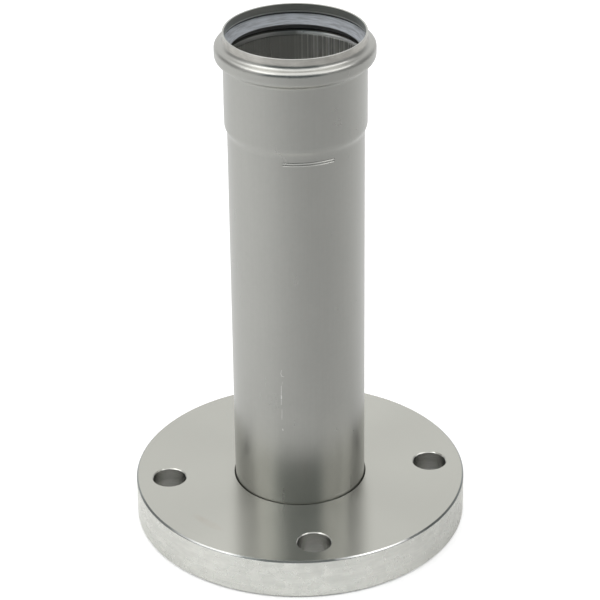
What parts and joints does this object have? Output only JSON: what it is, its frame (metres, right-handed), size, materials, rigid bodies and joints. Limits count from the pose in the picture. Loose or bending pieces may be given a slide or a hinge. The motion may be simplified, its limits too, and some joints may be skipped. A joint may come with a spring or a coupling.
{
  "type": "flanged pipe adapter",
  "caption": "Plate flange with bolt holes, carrying an upright thin stainless tube that ends in a beaded push-in socket with a rubber seal ring.",
  "frame": {"origin": "centre of the flange's flat sealing face, which is also the centre of the bottom of the bounding box", "axes": "+Z along the tube from the sealing face to the socket mouth; two of the bolt holes lie on the X axis and two on the Y axis; the pressed mark under the shoulder is near -Y"},
  "size_m": [0.1906, 0.1906, 0.3],
  "materials": {
    "tube_steel": "matte pickled stainless steel",
    "flange_steel": "fine turned stainless steel",
    "weld_steel": "as-welded stainless bead",
    "seal_rubber": "smooth dark rubber with a film of lubricant"
  },
  "bodies": {
    "root": {"socket_tube": "tube_steel", "flange": "flange_steel", "weld_ring": "weld_steel", "seal_ring": "seal_rubber"}
  },
  "joints": []
}
